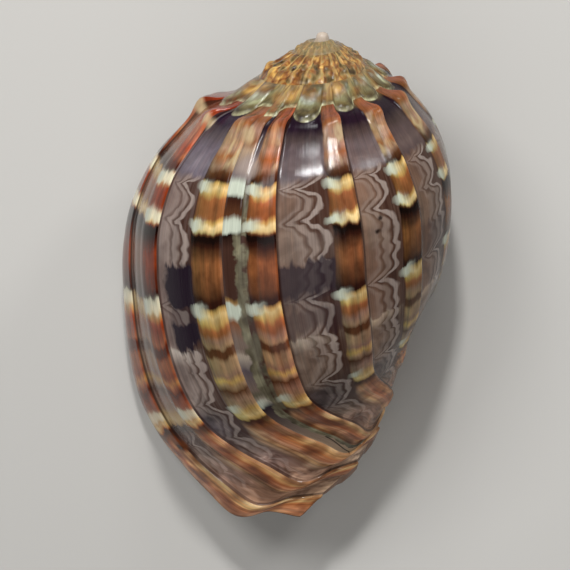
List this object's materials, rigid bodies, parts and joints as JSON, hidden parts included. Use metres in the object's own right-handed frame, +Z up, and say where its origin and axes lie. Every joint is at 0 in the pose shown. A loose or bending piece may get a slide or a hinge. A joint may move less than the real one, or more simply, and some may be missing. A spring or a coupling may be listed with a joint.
{
  "type": "harp sea shell",
  "caption": "Harp shell: coiled sea-snail shell with a low stepped spire, flat ribs across a swollen last whorl and a wide open mouth, lying on its mouth",
  "frame": {"origin": "On the surface that the shell lies on, under the middle of its bounding box.", "axes": "+Z is up, away from the mouth; +Y runs along the shell towards the apex of the spire; +X is the side away from the outer lip."},
  "size_m": [0.0566, 0.0804, 0.043],
  "materials": {
    "shell": "naturally polished shell, banded brown, cream and mauve grey"
  },
  "bodies": {
    "root": {"shell": "shell"}
  },
  "joints": []
}
